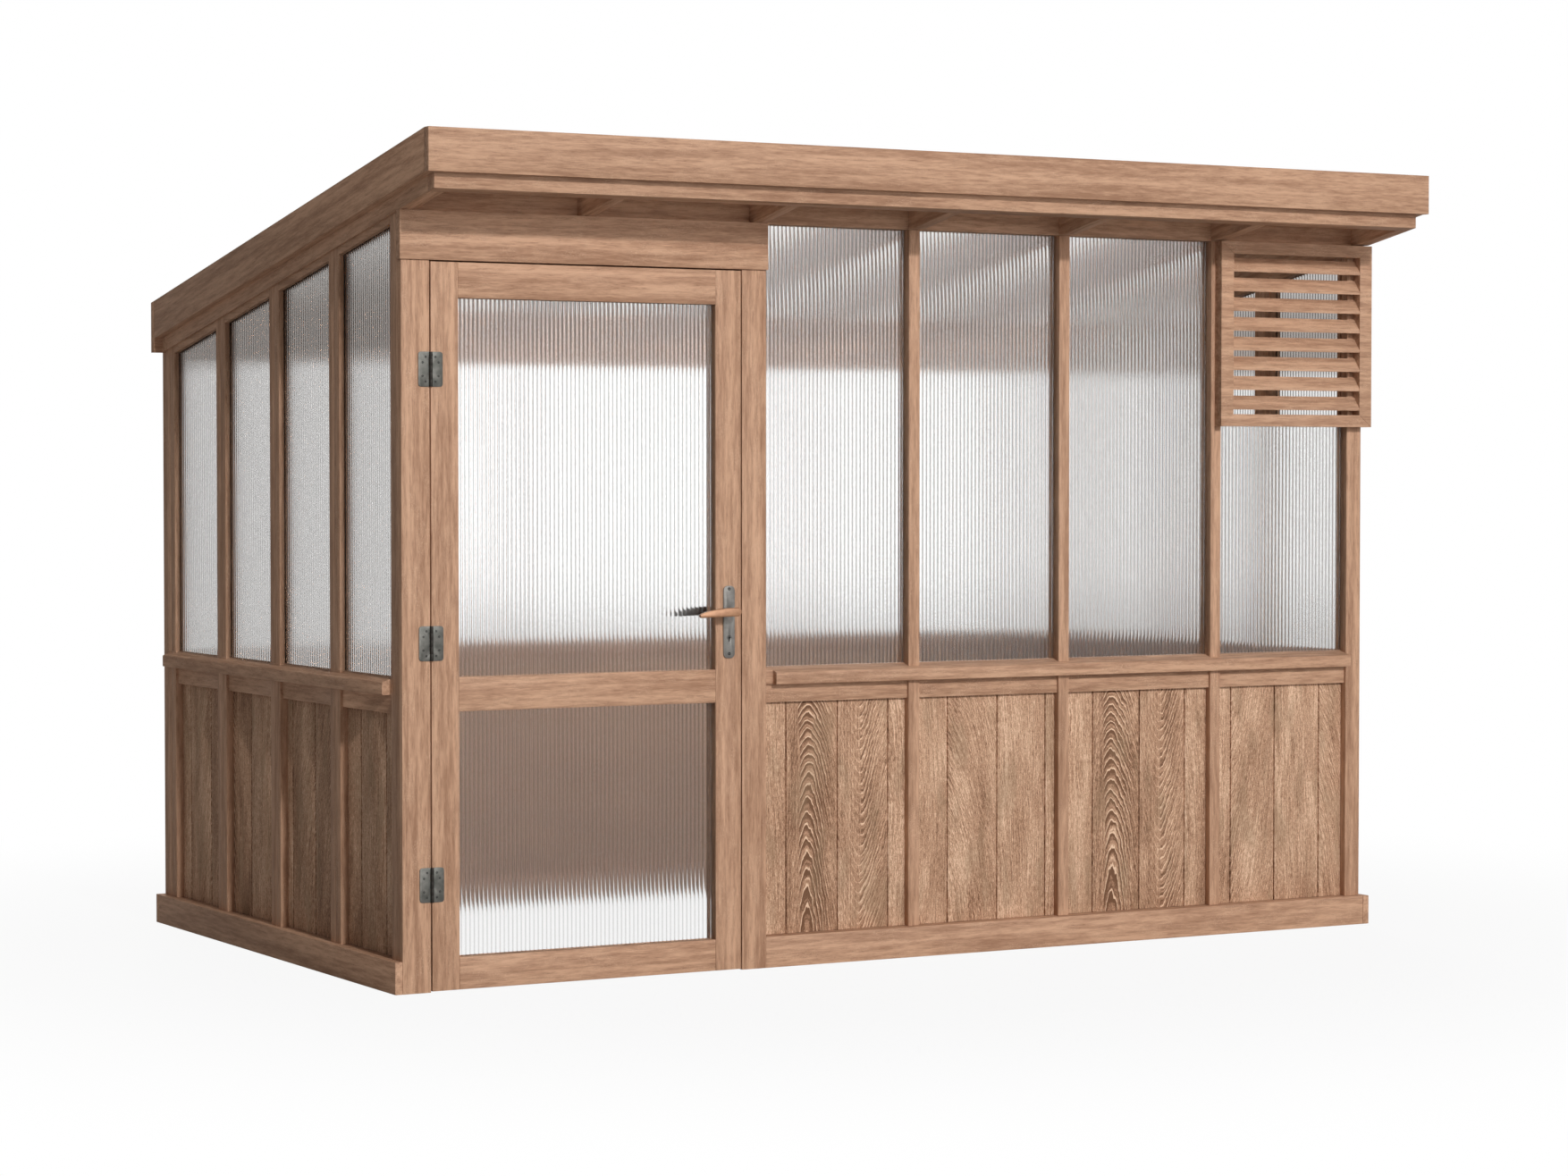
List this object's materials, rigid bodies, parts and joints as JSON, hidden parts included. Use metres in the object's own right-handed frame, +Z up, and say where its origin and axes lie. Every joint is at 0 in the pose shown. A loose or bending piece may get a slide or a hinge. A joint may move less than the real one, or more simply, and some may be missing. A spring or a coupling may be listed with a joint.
{
  "type": "lean-to greenhouse",
  "caption": "Timber lean-to greenhouse, boarded below the sill and glazed with reeded panes above, with a hinged door, a fixed louvre vent and a translucent sloping roof",
  "frame": {"origin": "on the ground under the middle of the overall box, roof edges included", "axes": "X along the front wall to the right as seen from the front, Y from the front wall to the rear, Z up, metres"},
  "size_m": [3.2664, 2.119, 2.2785],
  "materials": {
    "timber": "oiled softwood, satin",
    "boarding": "rough sawn, oiled",
    "reeded_glass": "reeded",
    "roof_sheet": "translucent sheet",
    "lock_steel": "satin",
    "hinge_steel": "zinc plated, dull",
    "dark_steel": "dark, satin",
    "bronze": "warm bronze, satin"
  },
  "bodies": {
    "greenhouse": {"plinth_front": "timber", "plinth_left": "timber", "plinth_right": "timber", "plinth_rear": "timber", "door_hinge_post": "timber", "door_lock_post": "timber", "corner_post_front_right": "timber", "door_header": "timber", "front_top_plate": "timber", "front_sill": "timber", "wall_frame_left": "timber", "wall_frame_right": "timber", "wall_frame_rear": "timber", "fascia_front": "timber", "fascia_left": "timber", "fascia_right": "timber", "fascia_rear": "timber", "louvre_vent": "timber", "louvre_transom": "timber", "front_mullion_1": "timber", "front_mullion_2": "timber", "front_mullion_3": "timber", "rafter_1": "timber", "rafter_2": "timber", "rafter_3": "timber", "rafter_4": "timber", "rafter_5": "timber", "boarding_front": "boarding", "boarding_left": "boarding", "boarding_right": "boarding", "boarding_rear": "boarding", "glazing_left": "reeded_glass", "glazing_right": "reeded_glass", "glazing_rear": "reeded_glass", "front_pane_1": "reeded_glass", "front_pane_2": "reeded_glass", "front_pane_3": "reeded_glass", "front_pane_4": "reeded_glass", "roof_sheet": "roof_sheet", "strike_plate": "lock_steel", "hinge_frame_leaf_top": "hinge_steel", "hinge_frame_leaf_middle": "hinge_steel", "hinge_frame_leaf_bottom": "hinge_steel"},
    "door": {"door_hinge_stile": "timber", "door_lock_stile": "timber", "door_top_rail": "timber", "door_mid_rail": "timber", "door_bottom_rail": "timber", "door_upper_pane": "reeded_glass", "door_lower_pane": "reeded_glass", "lock_case": "lock_steel", "outer_backplate": "lock_steel", "inner_backplate": "dark_steel", "hinge_door_leaf_top": "hinge_steel", "hinge_door_leaf_middle": "hinge_steel", "hinge_door_leaf_bottom": "hinge_steel"},
    "lever": {"outer_lever": "bronze", "inner_lever": "dark_steel"},
    "latch": {"latch_bolt": "lock_steel"},
    "deadbolt": {"dead_bolt": "lock_steel"}
  },
  "joints": [
    {"name": "door_hinge", "type": "hinge", "parent": "greenhouse", "child": "door", "pos_m": [-1.5162, -0.8053, 0.9604], "axis": [0, 0, -1], "range_deg": [0, 105]},
    {"name": "lever_turn", "type": "hinge", "parent": "door", "child": "lever", "pos_m": [-0.617, -0.7785, 1.002], "axis": [0, -1, 0], "range_deg": [0, 38], "stiffness_Nm_per_rad": 1, "springref_deg": -34.38},
    {"name": "latch_slide", "type": "slide", "parent": "door", "child": "latch", "axis": [-1, 0, 0], "range_m": [0, 0.003]},
    {"name": "deadbolt_throw", "type": "slide", "parent": "door", "child": "deadbolt", "axis": [1, 0, 0], "range_m": [0, 0.012]}
  ],
  "couplings": [
    {"joint": "latch_slide", "follows": "lever_turn", "m_per_rad": 0.0045}
  ]
}
